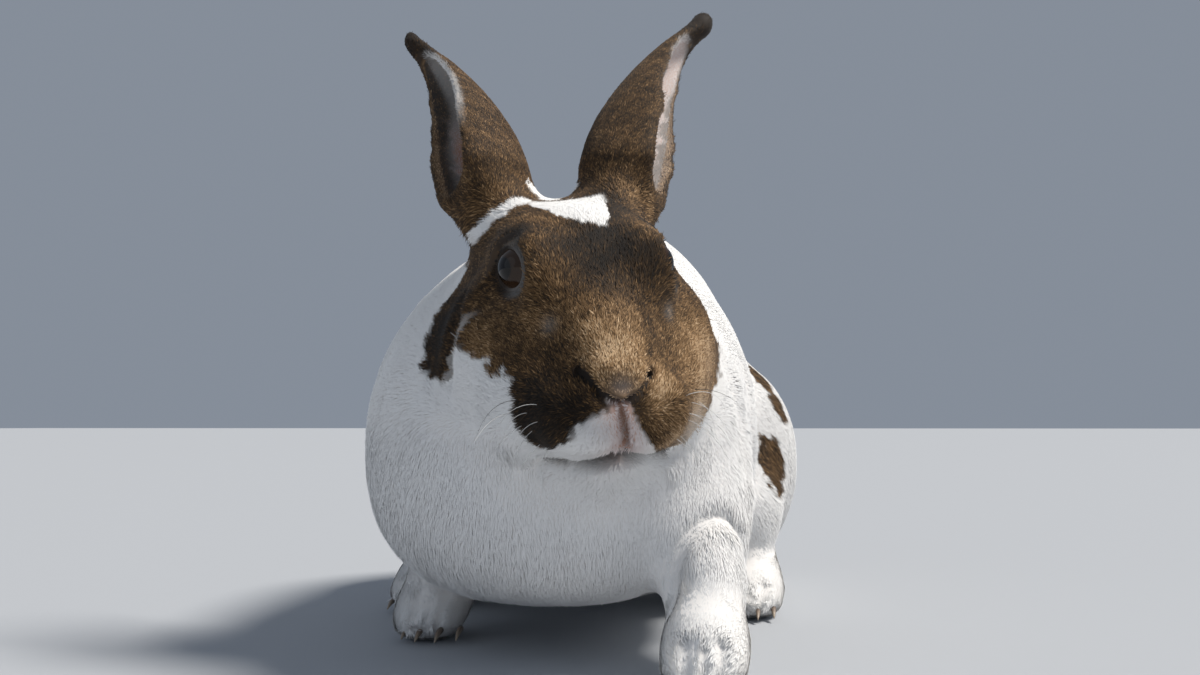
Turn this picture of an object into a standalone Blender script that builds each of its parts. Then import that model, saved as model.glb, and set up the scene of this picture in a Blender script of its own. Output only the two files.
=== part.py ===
"""A large domestic rabbit of the Rex kind, standing still with its left forefoot one step ahead.

The body is first modelled whole, from lofts and ellipsoids melted together by a voxel remesh, and
is then parted along thin cuts into the pieces that a person would name. Its surface is the outside
of the coat. Metres, +Z up; the rabbit faces -Y and its left side is at +X.
"""
import math

import bpy
import bmesh
from mathutils import Matrix, Vector

MM = 0.001

# Driving sizes, in millimetres unless the name says otherwise.
CUT_GAP = 0.35
WHOLE_TRIANGLES = 4250
FLAT_DEG = 0.4

NOSE_TIP = Vector((41, -181, 93))
HEAD_TURN_DEG = 23.0
HEAD_DROP_DEG = 35.0
HEAD_TILT_DEG = 4.5
EYE_RADIUS = 9.5
EYE_SEAT = Vector((61, 24.4, 15))
EAR_LENGTH = 134

# The hind feet's middle across the body, and each toe's middle from its paw's own: across, then
# along the body. A claw sits on the toe's tip.
HIND_FOOT_X = 76
HIND_TOES = ((-9.8, -7), (-3.3, -12), (3.3, -12), (9.8, -7))
HIND_CLAW_AHEAD = 16
FORE_TOES = ((-10.5, -10), (-3.8, -15), (3.8, -15), (10.5, -10))
FORE_CLAW_AHEAD = 10
CLAW_HEIGHT = 6.4
CLAW_LENGTH = 10

# Trunk stations, front to back: place along the body, middle across it, half width, then the
# lowest, the widest and the highest level.
TRUNK = [
    (-150, 10, 24, 42, 66, 90),
    (-141, 9, 47, 28, 66, 112),
    (-122, 5, 65, 19, 69, 138),
    (-96, 2, 76, 17, 76, 156),
    (-55, 0, 81, 18, 84, 168),
    (-15, -2, 79, 22, 86, 178),
    (25, -3, 76, 25, 86, 188),
    (60, -3, 76, 25, 84, 192),
    (95, -2, 74, 25, 82, 184),
    (125, 0, 64, 28, 78, 164),
    (148, 0, 46, 37, 76, 134),
    (162, 0, 26, 52, 76, 104),
]
FORELEGS = {
    # shoulder, elbow, wrist and the middle of the paw
    "left": (Vector((46, -84, 84)), Vector((60, -112, 54)), Vector((64, -141, 26)), Vector((65, -156, 14))),
    "right": (Vector((-46, -44, 80)), Vector((-50, -46, 50)), Vector((-50, -62, 26)), Vector((-50, -74, 14))),
}
EARS = {
    # root in the head's frame, then the lean of the ear and the way its open side faces
    "left": ((104, 21, 17), Vector((24.5, 77.0, 92)), Vector((0.995, -0.10, 0.0))),
    "right": ((104, -28, 17), Vector((-51, 71, 86)), Vector((-0.70, -0.71, 0.0))),
}
EAR_STATIONS = [
    # share of the length, shift to the open side, depth of the fold, half width, how far the rims
    # close in degrees, wall
    (0.00, 0.0, 17.0, 14.5, 150, 7.0),
    (0.12, 1.0, 24.0, 17.0, 126, 6.6),
    (0.22, 1.6, 27.0, 17.5, 114, 6.2),
    (0.34, 1.8, 28.0, 17.5, 108, 5.8),
    (0.48, 0.6, 25.0, 16.0, 102, 5.5),
    (0.61, -1.0, 20.0, 13.6, 100, 5.2),
    (0.73, -2.0, 14.5, 10.6, 102, 5.0),
    (0.84, -2.2, 9.5, 7.4, 112, 4.8),
    (0.92, -1.2, 6.2, 5.4, 140, 4.6),
]


def clear_scene():
    for obj in list(bpy.data.objects):
        bpy.data.objects.remove(obj)


# ---------------------------------------------------------------- the head's own frame
def head_axes():
    """Back along the skull, left and up, as seen by the rabbit."""
    turn = math.radians(HEAD_TURN_DEG)
    drop = math.radians(HEAD_DROP_DEG)
    tilt = math.radians(HEAD_TILT_DEG)
    ahead = Vector((math.sin(turn), -math.cos(turn), 0))
    back = -ahead * math.cos(drop) + Vector((0, 0, math.sin(drop)))
    up = ahead * math.sin(drop) + Vector((0, 0, math.cos(drop)))
    left = Vector((math.cos(turn), math.sin(turn), 0))
    return (back, left * math.cos(tilt) + up * math.sin(tilt),
            up * math.cos(tilt) - left * math.sin(tilt))


BACK, LEFT, UP = head_axes()
HEAD_FRAME = Matrix((BACK, LEFT, UP)).transposed()


def in_head(back, left, up):
    """A point given from the nose tip: along the skull, to the left and up."""
    return NOSE_TIP + BACK * back + LEFT * left + UP * up


# ---------------------------------------------------------------- making shapes
def ellipsoid(bm, centre, radii, turn=None, detail=3):
    """An ellipsoid in millimetres; turn is a 3x3 matrix whose columns are its own axes."""
    axes = (turn or Matrix.Identity(3)).to_4x4()
    size = Matrix.Diagonal((*radii, 1))
    place = Matrix.Translation(Vector(centre) * MM) @ axes @ size @ Matrix.Scale(MM, 4)
    bmesh.ops.create_icosphere(bm, subdivisions=detail, radius=1.0, matrix=place)


def loft(bm, rings):
    """A closed tube through rings of points in millimetres, each end closed on its own centre."""
    loops = [[bm.verts.new(p * MM) for p in ring] for ring in rings]
    count = len(loops[0])
    for first, second in zip(loops, loops[1:]):
        for i in range(count):
            j = (i + 1) % count
            bm.faces.new((first[i], first[j], second[j], second[i]))
    for loop, ring, turned in ((loops[0], rings[0], False), (loops[-1], rings[-1], True)):
        hub = bm.verts.new(sum(ring, Vector()) / count * MM)
        for i in range(count):
            j = (i + 1) % count
            bm.faces.new((loop[i], hub, loop[j]) if not turned else (loop[j], hub, loop[i]))


def limb(bm, path, sides=20):
    """A round tube along (point, radius) stations, its rings square to the way it runs."""
    points = [Vector(p) for p, _ in path]
    rings = []
    for i, (point, radius) in enumerate(path):
        ahead = (points[min(i + 1, len(points) - 1)] - points[max(i - 1, 0)]).normalized()
        across = ahead.cross(Vector((0.05, 0.7, 0.7))).normalized()
        other = ahead.cross(across)
        rings.append([
            Vector(point) + (across * math.cos(a) + other * math.sin(a)) * radius
            for a in (math.tau * k / sides for k in range(sides))
        ])
    loft(bm, rings)


def as_object(bm, name):
    bmesh.ops.recalc_face_normals(bm, faces=bm.faces)
    mesh = bpy.data.meshes.new(name)
    bm.to_mesh(mesh)
    bm.free()
    obj = bpy.data.objects.new(name, mesh)
    bpy.context.scene.collection.objects.link(obj)
    return obj


def settle(obj):
    """Replaces an object's mesh by what its modifiers make of it."""
    bpy.context.view_layer.update()
    graph = bpy.context.evaluated_depsgraph_get()
    mesh = bpy.data.meshes.new_from_object(obj.evaluated_get(graph))
    obj.modifiers.clear()
    obj.data = mesh
    return obj


def blend(obj, voxel, passes):
    """Melts overlapping shapes into one skin and softens the creases between them."""
    remesh = obj.modifiers.new("one skin", "REMESH")
    remesh.mode = "VOXEL"
    remesh.voxel_size = voxel * MM
    smooth = obj.modifiers.new("soft", "SMOOTH")
    smooth.factor = 0.5
    smooth.iterations = passes
    return settle(obj)


# ---------------------------------------------------------------- the trunk and its limbs
def trunk(bm):
    """Rings of a rounded section, flatter below than above."""
    sides = 32
    rings = []
    for along, middle, half, low, mid, high in TRUNK:
        ring = []
        for k in range(sides):
            a = math.tau * k / sides
            c, s = math.cos(a), math.sin(a)
            power = 2 / 2.05 if s > 0 else 2 / 2.6
            reach = high - mid if s > 0 else mid - low
            ring.append(Vector((
                middle + half * math.copysign(abs(c) ** power, c),
                along,
                mid + reach * math.copysign(abs(s) ** power, s),
            )))
        rings.append(ring)
    loft(bm, rings)


def neck(bm):
    """The thick neck, its nape, and the fold of loose fur behind the right cheek."""
    limb(bm, [(in_head(72, 0, -8), 33), (in_head(94, 0, -12), 40), (Vector((4, -84, 112)), 50),
              (Vector((0, -50, 106)), 56)], sides=24)
    ellipsoid(bm, (4, -82, 130), (40, 44, 38))
    ellipsoid(bm, (-25, -96, 116), (22, 24, 30))


def haunch(bm, side):
    """The folded thigh, a flat egg lying against the flank, with knee and hock below it."""
    tilt = Matrix.Rotation(math.radians(-20), 3, "X") @ Matrix.Rotation(math.radians(5 * side), 3, "Z")
    ellipsoid(bm, (58 * side, 68, 65), (41, 62, 55), tilt)
    ellipsoid(bm, (66 * side, 24, 46), (26, 36, 28), Matrix.Rotation(math.radians(25), 3, "X"))
    ellipsoid(bm, (62 * side, 104, 40), (25, 36, 33))


def hind_foot(bm, side):
    """The long hind foot lies flat from heel to toes."""
    x = HIND_FOOT_X * side
    limb(bm, [((x - 10 * side, 131, 15), 5), ((x - 9 * side, 125, 14), 11), ((x - 6 * side, 106, 15), 14.5),
              ((x - 3 * side, 70, 15), 15), ((x - 1 * side, 30, 14.5), 15), ((x, 4, 13.5), 15.5)])
    ellipsoid(bm, (x, 4, 11), (16.5, 20, 14))
    for across, along in HIND_TOES:
        ellipsoid(bm, (x + across, along, 8.6), (5.6, 15, 8.8))


def foreleg(bm, shoulder, elbow, wrist, paw):
    limb(bm, [(shoulder, 31), (elbow, 22), (elbow.lerp(wrist, 0.5), 17.5), (wrist, 15.5), (paw, 13.5)])


def forepaw(bm, name):
    """A rounded paw on four toes."""
    x, y, _ = FORELEGS[name][3]
    ellipsoid(bm, (x, y + 1, 13.5), (16.5, 19, 14))
    for across, along in FORE_TOES:
        ellipsoid(bm, (x + across, y + along, 8.6), (5.4, 9.5, 8.6))


# ---------------------------------------------------------------- the head
def head_mass(bm):
    """The big forms of the head: brain case, bridge of the nose, jaw, cheeks and throat."""
    def put(back, left, up, radii):
        ellipsoid(bm, in_head(back, left, up), radii, HEAD_FRAME)

    put(72, 0, -1, (43, 32.5, 31.5))
    put(42, 0, -2, (38, 21, 22.5))
    put(82, 0, -27, (36, 39, 25))
    put(33, 0, -33, (27, 23, 20))
    for side in (1, -1):
        put(63, 24 * side, -20, (33, 26.5, 30))
        put(41, 18 * side, -22, (32, 24, 27))
        put(72, 16 * side, 9, (27, 18, 19))


def face_forms(bm):
    """The smaller forms: brows, nose pad, whisker pads, lower lip and chin."""
    def put(back, left, up, radii):
        ellipsoid(bm, in_head(back, left, up), radii, HEAD_FRAME)

    put(9.5, 0, -1, (10, 12, 9.5))
    put(16, 0, -29, (14, 13, 10))
    for side in (1, -1):
        put(60, 17.5 * side, 12, (25, 13.5, 18))
        put(18, 11 * side, -14, (20, 16.5, 16))


# ---------------------------------------------------------------- the ears
def ear(bm, name):
    """A folded leaf: each ring is a horseshoe whose open side faces outwards."""
    root, lean, facing = EARS[name]
    start = in_head(*root)
    along = lean.normalized()
    facing = (facing - along * facing.dot(along)).normalized()
    across = along.cross(facing)
    arc = 13
    rings = []
    for share, shift, depth, half, close, wall in EAR_STATIONS:
        centre = start + along * (EAR_LENGTH * share) + facing * shift
        outer, inner = [], []
        for k in range(arc):
            a = math.radians(close) * (2 * k / (arc - 1) - 1)
            ray = -facing * math.cos(a) * depth + across * math.sin(a) * half
            normal = (-facing * math.cos(a) * half + across * math.sin(a) * depth).normalized()
            outer.append(centre + ray)
            inner.append(centre + ray - normal * min(wall, 0.8 * half))
        rings.append(outer + inner[::-1])
    loft(bm, rings)
    ear_axes = Matrix((along, across, facing)).transposed()
    tip = start + along * EAR_LENGTH
    ellipsoid(bm, tip - along * 7 + facing * 1.5, (10, 5.2, 5.2), ear_axes)
    ellipsoid(bm, start + along * 2, (19, 14, 15), ear_axes)


# ---------------------------------------------------------------- the whole body, melted in three steps
def whole_body():
    bm = bmesh.new()
    trunk(bm)
    neck(bm)
    for side in (1, -1):
        haunch(bm, side)
    body = blend(as_object(bm, "body clay"), 3.2, 26)

    bm = bmesh.new()
    bm.from_mesh(body.data)
    bpy.data.objects.remove(body)
    head_mass(bm)
    for joints in FORELEGS.values():
        foreleg(bm, *joints)
    body = blend(as_object(bm, "body and head clay"), 2.6, 14)

    bm = bmesh.new()
    bm.from_mesh(body.data)
    bpy.data.objects.remove(body)
    face_forms(bm)
    for side in (1, -1):
        hind_foot(bm, side)
    for name in FORELEGS:
        forepaw(bm, name)
    for name in EARS:
        ear(bm, name)
    ellipsoid(bm, (0, 167, 98), (16, 15, 28), Matrix.Rotation(math.radians(-16), 3, "X"))
    whole = blend(as_object(bm, "whole"), 1.9, 5)
    stand_flat(whole, 1.6)
    thin = whole.modifiers.new("fewer faces", "DECIMATE")
    whole.data.calc_loop_triangles()
    thin.ratio = WHOLE_TRIANGLES / len(whole.data.loop_triangles)
    settle(whole)
    stand_flat(whole, 0.9)
    return whole


def stand_flat(obj, depth):
    """Presses whatever lies below this height down or up to the floor, which gives each foot its flat."""
    for vertex in obj.data.vertices:
        if vertex.co.z < depth * MM:
            vertex.co.z = 0.0


# ---------------------------------------------------------------- parting it into named pieces
def hull(name, points):
    """The convex shape round a set of points in millimetres."""
    bm = bmesh.new()
    for point in points:
        bm.verts.new(point * MM)
    bmesh.ops.convex_hull(bm, input=bm.verts)
    bmesh.ops.delete(bm, geom=[v for v in bm.verts if not v.link_faces], context="VERTS")
    return as_object(bm, name)


def round_bound(*balls):
    """Points round a few ellipsoids, each (centre, radii) or (centre, radii, axes)."""
    def points(grow):
        found = []
        for centre, radii, *turn in balls:
            radii = (radii,) * 3 if isinstance(radii, (int, float)) else radii
            bm = bmesh.new()
            ellipsoid(bm, centre, [r * 1.06 + grow for r in radii], turn[0] if turn else None, detail=2)
            found += [v.co / MM for v in bm.verts]
            bm.free()
        return found
    return points


def box_bound(origin, axes, low, high):
    """The corners of a box that is square to its own axes, from low to high along each of them."""
    def points(grow):
        lows = [value - grow for value in low]
        highs = [value + grow for value in high]
        return [
            Vector(origin) + axes[0] * x + axes[1] * y + axes[2] * z
            for x in (lows[0], highs[0]) for y in (lows[1], highs[1]) for z in (lows[2], highs[2])
        ]
    return points


def cut(obj, cutter, operation):
    boolean = obj.modifiers.new("cut", "BOOLEAN")
    boolean.operation = operation
    boolean.solver = "EXACT"
    boolean.object = cutter
    settle(obj)
    bpy.data.objects.remove(cutter)
    keep_main_body(obj)
    return obj


def keep_main_body(obj):
    """Drops the crumbs that a cut can leave beside the main body."""
    bm = bmesh.new()
    bm.from_mesh(obj.data)
    unseen = set(bm.verts)
    bodies = []
    while unseen:
        body, edge = set(), [unseen.pop()]
        while edge:
            vertex = edge.pop()
            body.add(vertex)
            for link in vertex.link_edges:
                other = link.other_vert(vertex)
                if other in unseen:
                    unseen.discard(other)
                    edge.append(other)
        bodies.append(body)
    main = max(bodies, key=len)
    bmesh.ops.delete(bm, geom=[v for v in bm.verts if v not in main], context="VERTS")
    bm.to_mesh(obj.data)
    bm.free()


def part_off(rest, name, bound):
    """Takes the piece inside a convex bound off the rest, and leaves the cut's gap between them."""
    piece = rest.copy()
    piece.data = rest.data.copy()
    piece.name = name
    bpy.context.scene.collection.objects.link(piece)
    cut(piece, hull(name + " cutter", bound(0.0)), "INTERSECT")
    cut(rest, hull(name + " gap", bound(CUT_GAP)), "DIFFERENCE")
    return piece


def ear_bound(name):
    root, lean, facing = EARS[name]
    start = in_head(*root)
    along = lean.normalized()
    facing = (facing - along * facing.dot(along)).normalized()
    axes = Matrix((along, along.cross(facing), facing)).transposed()
    stations = ((0.075, -3, 21, 26), (0.22, -7, 23, 27), (0.50, -6, 22, 26), (0.80, -3, 15, 18),
                (1.02, 0, 8, 8))
    return round_bound(*[
        (start + along * EAR_LENGTH * share + facing * shift, (0, half, depth), axes)
        for share, shift, half, depth in stations])


def thigh_bound(side):
    tilt = Matrix.Rotation(math.radians(-20), 3, "X") @ Matrix.Rotation(math.radians(5 * side), 3, "Z")
    return round_bound(((61 * side, 68, 65), (42, 63, 56), tilt), ((70 * side, 24, 42), (30, 39, 34)),
                       ((66 * side, 104, 38), (28, 40, 36)))


def limb_bound(top, toward, low, high):
    """A box whose first axis runs down a limb from its top."""
    down = (toward - top).normalized()
    across = (Vector((1, 0, 0)) - down * down.x).normalized()
    return box_bound(top, (down, across, down.cross(across)), low, high)


def tidy_faces(obj):
    """Merges the slivers that the cuts leave in flat places."""
    bm = bmesh.new()
    bm.from_mesh(obj.data)
    bmesh.ops.dissolve_limit(bm, angle_limit=math.radians(FLAT_DEG), verts=bm.verts, edges=bm.edges)
    bmesh.ops.triangulate(bm, faces=bm.faces)
    bm.to_mesh(obj.data)
    bm.free()


def claws(paw, x, y, toes, ahead):
    """A short horn claw on the tip of each toe, joined to the paw and pointing a little down."""
    for across, along in toes:
        bm = bmesh.new()
        place = (Matrix.Translation(Vector((x + across, y + along - ahead, CLAW_HEIGHT)) * MM)
                 @ Matrix.Rotation(math.radians(104), 4, "X"))
        bmesh.ops.create_cone(bm, cap_ends=True, segments=5, radius1=1.9 * MM, radius2=0.5 * MM,
                              depth=CLAW_LENGTH * MM, matrix=place)
        cut(paw, as_object(bm, "claw"), "UNION")


def eyeball(name, side):
    back, left, up = EYE_SEAT
    bm = bmesh.new()
    place = Matrix.Translation(in_head(back, left * side, up) * MM) @ HEAD_FRAME.to_4x4()
    bmesh.ops.create_uvsphere(bm, u_segments=16, v_segments=9, radius=EYE_RADIUS * MM, matrix=place)
    return as_object(bm, name)


def eye_socket(head, side):
    back, left, up = EYE_SEAT
    bm = bmesh.new()
    place = Matrix.Translation(in_head(back, left * side, up) * MM) @ HEAD_FRAME.to_4x4()
    bmesh.ops.create_uvsphere(bm, u_segments=16, v_segments=9, radius=(EYE_RADIUS + CUT_GAP) * MM,
                              matrix=place)
    cut(head, as_object(bm, "socket"), "DIFFERENCE")


def coat_material(name, colour, roughness=0.9):
    material = bpy.data.materials.new(name)
    material.use_nodes = True
    shader = material.node_tree.nodes["Principled BSDF"]
    shader.inputs["Base Color"].default_value = (*colour, 1)
    shader.inputs["Roughness"].default_value = roughness
    material.diffuse_color = (*colour, 1)
    return material


clear_scene()
WHITE_COAT = coat_material("white_coat", (0.83, 0.81, 0.77))
BROWN_COAT = coat_material("brown_coat", (0.17, 0.10, 0.055))
DARK_EYE = coat_material("dark_eye", (0.018, 0.010, 0.007), 0.08)

rest = whole_body()
pieces = {}
WORLD = (Vector((1, 0, 0)), Vector((0, 1, 0)), Vector((0, 0, 1)))
for side_name in ("left", "right"):
    pieces["ear_" + side_name] = part_off(rest, "ear_" + side_name, ear_bound(side_name))

pieces["head"] = part_off(rest, "head", round_bound(
    (in_head(64, 24, -20), 33), (in_head(64, -24, -20), 33), (in_head(68, 0, 2), 38),
    (in_head(14, 0, -8), 28), (in_head(33, 0, -36), 24), (in_head(84, 0, -4), 37)))
for side_name, side in (("left", 1), ("right", -1)):
    eye_socket(pieces["head"], side)
    pieces["eye_" + side_name] = eyeball("eye_" + side_name, side)

for side_name in ("left", "right"):
    shoulder, elbow, wrist, paw = FORELEGS[side_name]
    paw_bound = limb_bound(wrist, paw + Vector((0, -6, 0)), (1, -26, -30), (45, 26, 19))
    pieces["forepaw_" + side_name] = part_off(rest, "forepaw_" + side_name, paw_bound)
    pieces["foreleg_" + side_name] = part_off(
        rest, "foreleg_" + side_name, limb_bound(elbow, wrist, (0, -25, -25), (55, 25, 23)))

for side_name, side in (("left", 1), ("right", -1)):
    pieces["hindfoot_" + side_name] = part_off(
        rest, "hindfoot_" + side_name, box_bound((74 * side, 0, 0), WORLD, (-30, -50, -6), (32, 150, 26)))
    pieces["thigh_" + side_name] = part_off(rest, "thigh_" + side_name, thigh_bound(side))

pieces["tail"] = part_off(rest, "tail", round_bound(((0, 172, 99), (19, 17, 33))))
pieces["neck"] = part_off(rest, "neck", round_bound(((2, -96, 128), (62, 42, 50))))
pieces["dewlap"] = part_off(rest, "dewlap", box_bound((0, 0, 0), WORLD, (-100, -170, 0), (100, -98, 84)))
rest.name = "trunk"
pieces["trunk"] = rest

for side_name, side in (("left", 1), ("right", -1)):
    x, y, _ = FORELEGS[side_name][3]
    claws(pieces["forepaw_" + side_name], x, y, FORE_TOES, FORE_CLAW_AHEAD)
    claws(pieces["hindfoot_" + side_name], HIND_FOOT_X * side, 0, HIND_TOES, HIND_CLAW_AHEAD)

low, high = Vector((1e9,) * 3), Vector((-1e9,) * 3)
for piece in pieces.values():
    for vertex in piece.data.vertices:
        low = Vector(map(min, low, vertex.co))
        high = Vector(map(max, high, vertex.co))
base = Vector(((low.x + high.x) / 2, (low.y + high.y) / 2, low.z))
for name, piece in pieces.items():
    piece.name = name
    tidy_faces(piece)
    piece.data.transform(Matrix.Translation(-base))
    piece.data.materials.clear()
    piece.data.materials.append(
        DARK_EYE if name.startswith("eye") else BROWN_COAT if name[:3] in ("hea", "ear") else WHITE_COAT)
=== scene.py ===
import math

import bpy
import bmesh
import numpy as np
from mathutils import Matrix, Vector
from mathutils.bvhtree import BVHTree
from mathutils.kdtree import KDTree


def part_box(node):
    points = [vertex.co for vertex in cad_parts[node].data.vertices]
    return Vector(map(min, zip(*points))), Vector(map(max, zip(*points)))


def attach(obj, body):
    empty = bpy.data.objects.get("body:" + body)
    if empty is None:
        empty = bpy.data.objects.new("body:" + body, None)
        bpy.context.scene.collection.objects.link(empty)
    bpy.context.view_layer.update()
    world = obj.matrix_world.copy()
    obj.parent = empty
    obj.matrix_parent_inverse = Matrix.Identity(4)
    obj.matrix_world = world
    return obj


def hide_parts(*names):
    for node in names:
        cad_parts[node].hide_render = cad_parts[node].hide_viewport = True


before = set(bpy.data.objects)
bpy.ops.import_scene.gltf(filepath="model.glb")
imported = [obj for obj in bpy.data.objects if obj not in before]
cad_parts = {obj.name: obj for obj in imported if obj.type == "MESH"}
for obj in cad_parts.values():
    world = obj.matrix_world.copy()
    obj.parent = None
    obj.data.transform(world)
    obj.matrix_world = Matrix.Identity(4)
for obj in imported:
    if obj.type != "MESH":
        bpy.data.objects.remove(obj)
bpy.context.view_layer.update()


# ---- The head's own frame --------------------------------
# The rabbit carries her head turned a little to her left and dropped at the nose. Everything on the
# head is placed from the nose tip: back along the skull, out to her left, and up, in millimetres.
MM = 0.001
HEAD_TURN = math.radians(23)
HEAD_DROP = math.radians(35)
HEAD_TILT = math.radians(4.5)
EYE_BACK, EYE_OUT, EYE_UP = 61, 24.4, 15
AHEAD = Vector((math.sin(HEAD_TURN), -math.cos(HEAD_TURN), 0))
LEVEL_LEFT = Vector((math.cos(HEAD_TURN), math.sin(HEAD_TURN), 0))
LEVEL_UP = AHEAD * math.sin(HEAD_DROP) + Vector((0, 0, math.cos(HEAD_DROP)))
BACK = -AHEAD * math.cos(HEAD_DROP) + Vector((0, 0, math.sin(HEAD_DROP)))
LEFT = LEVEL_LEFT * math.cos(HEAD_TILT) + LEVEL_UP * math.sin(HEAD_TILT)
UP = LEVEL_UP * math.cos(HEAD_TILT) - LEVEL_LEFT * math.sin(HEAD_TILT)
HEAD_AXES = np.array((BACK, LEFT, UP))
eye_seats = {side: sum(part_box("eye_" + side), Vector()) / 2 for side in ("left", "right")}
NOSE_TIP = (eye_seats["left"] + eye_seats["right"]) / 2 - (BACK * EYE_BACK + UP * EYE_UP) * MM


def on_head(points):
    """Points in metres as back, left and up from the nose tip, in millimetres."""
    return (np.asarray(points) - np.array(NOSE_TIP)) @ HEAD_AXES.T / MM


def off_head(places):
    """Back, left and up in millimetres as points in metres."""
    return np.asarray(places, float) * MM @ HEAD_AXES + np.array(NOSE_TIP)


# ---- The skin --------------------------------------------
# One hide covers the whole body, from the rims of the lids to the toes. It starts as the outside of
# the coat, all the named parts melted together. Folds are pressed into that, and it is then drawn in
# by the depth of the fur.
SKIN_GRAIN = 2.15 * MM
GROWN = 0.45 * MM
# Where folds are too fine for that grain: place on the head, reach, and how often it is divided.
FINE_SPOTS = [((7, 0, -9), 25, 2), ((EYE_BACK, EYE_OUT, EYE_UP), 17, 2),
              ((EYE_BACK, -EYE_OUT, EYE_UP), 17, 2)]
FLESH = sorted(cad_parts)
EARS = {
    # root on the head, lean, the way the open side faces, and the side of the fold that is its front rim
    "left": ((104, 21, 17), (24.5, 77.0, 92), (0.995, -0.10, 0.0), -1),
    "right": ((104, -28, 17), (-51, 71, 86), (-0.70, -0.71, 0.0), 1),
}
EAR_LENGTH = 134
EAR_LEANS = {side: np.array(Vector(lean).normalized()) for side, (root, lean, facing, front) in EARS.items()}
# The muscle in front of each ear's root: middle and half widths on the head.
EAR_PADS = [((109, 23, 21), (11, 13, 11)), ((110, -29, 20), (10, 12, 11))]


def ease(low, high, value):
    """0 below low, 1 above high, and a smooth rise between them."""
    share = np.clip((np.asarray(value, float) - low) / (high - low), 0, 1)
    return share * share * (3 - 2 * share)


def fade(gap, width):
    """1 where there is no gap, and less and less over about twice the width."""
    return np.exp(-(gap / width) ** 2)


def length(rows):
    return np.linalg.norm(rows, axis=1)


def unit(rows):
    return rows / np.maximum(np.linalg.norm(rows, axis=-1, keepdims=True), 1e-12)


def placed(name, data):
    obj = bpy.data.objects.new(name, data)
    bpy.context.scene.collection.objects.link(obj)
    return obj


def pour(part, whole):
    """Adds one part to the whole."""
    mesh = bpy.data.meshes.new("part")
    part.to_mesh(mesh)
    part.free()
    whole.from_mesh(mesh)
    bpy.data.meshes.remove(mesh)


def melted_flesh():
    """The parts grown just enough to close the cuts between them, as one even mesh."""
    whole = bmesh.new()
    for name in FLESH:
        part = bmesh.new()
        part.from_mesh(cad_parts[name].data)
        bmesh.ops.remove_doubles(part, verts=part.verts, dist=0.01 * MM)
        part.normal_update()
        if not name.startswith("eye"):
            for vertex in part.verts:
                vertex.co += vertex.normal * GROWN
        pour(part, whole)
    for middle, reach in EAR_PADS:
        pad = bmesh.new()
        bmesh.ops.create_icosphere(pad, subdivisions=3, radius=1)
        for vertex in pad.verts:
            vertex.co = off_head(np.array(middle) + np.array(vertex.co) * reach)
        bmesh.ops.recalc_face_normals(pad, faces=pad.faces)
        pour(pad, whole)
    mesh = bpy.data.meshes.new("skin")
    whole.to_mesh(mesh)
    whole.free()
    obj = placed("skin", mesh)
    melt = obj.modifiers.new("melt", "REMESH")
    melt.mode = "VOXEL"
    melt.voxel_size = SKIN_GRAIN
    bpy.context.view_layer.update()
    graph = bpy.context.evaluated_depsgraph_get()
    mesh = bpy.data.meshes.new_from_object(obj.evaluated_get(graph))
    obj.modifiers.clear()
    obj.data = mesh
    return obj


def divide(obj, spots):
    """Divides the faces near each spot, each time within a slightly smaller reach."""
    for place, reach, times in spots:
        centre = Vector(off_head(place))
        for k in range(times):
            bm = bmesh.new()
            bm.from_mesh(obj.data)
            far = (reach - 2 * k) * MM
            near = [f for f in bm.faces if (f.calc_center_median() - centre).length < far]
            edges = list({e for f in near for e in f.edges})
            bmesh.ops.subdivide_edges(bm, edges=edges, cuts=1, use_grid_fill=True, smooth=0.0)
            bmesh.ops.triangulate(bm, faces=[f for f in bm.faces if len(f.verts) > 4])
            bm.to_mesh(obj.data)
            bm.free()


def read_rows(items, label, width, kind):
    """One value of every item of a mesh, a row to each item."""
    rows = np.empty(len(items) * width, kind)
    items.foreach_get(label, rows)
    return rows.reshape(-1, width)


class Surface:
    """A mesh's points, its edges and triangles, and what is worked out from them."""

    def __init__(self, mesh):
        mesh.calc_loop_triangles()
        self.points = read_rows(mesh.vertices, "co", 3, np.float32).astype(float)
        self.edges = read_rows(mesh.edges, "vertices", 2, np.int32)
        self.triangles = read_rows(mesh.loop_triangles, "vertices", 3, np.int32)
        self.loops = read_rows(mesh.loop_triangles, "loops", 3, np.int32)

    def nearest(self, places):
        """The number of the point nearest to each place."""
        tree = KDTree(len(self.points))
        for number, point in enumerate(self.points):
            tree.insert(point, number)
        tree.balance()
        return [tree.find(Vector(place))[1] for place in places]

    def areas(self, faces):
        """How big these triangles are, in square millimetres."""
        a, b, c = (self.points[self.triangles[faces, k]] for k in range(3))
        return 0.5 * length(np.cross(b - a, c - a)) / MM ** 2

    def normals(self):
        a, b, c = (self.points[self.triangles[:, k]] for k in range(3))
        face = np.cross(b - a, c - a)
        total = np.zeros_like(self.points)
        for k in range(3):
            for axis in range(3):
                total[:, axis] += np.bincount(self.triangles[:, k], face[:, axis], len(total))
        return unit(total)

    def spread(self, values, passes):
        """Averages values with their neighbours' along the edges."""
        first, second = self.edges.T
        count = len(self.points)
        degree = np.bincount(first, minlength=count) + np.bincount(second, minlength=count)
        values = np.asarray(values, float)
        flat = values.reshape(count, -1)
        for _ in range(passes):
            total = np.empty_like(flat)
            for k in range(flat.shape[1]):
                total[:, k] = (np.bincount(first, flat[second, k], count)
                               + np.bincount(second, flat[first, k], count))
            flat = 0.5 * flat + 0.5 * total / np.maximum(degree, 1)[:, None]
        return flat.reshape(values.shape)


skin = melted_flesh()
divide(skin, FINE_SPOTS)
outside = Surface(skin.data)

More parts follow.
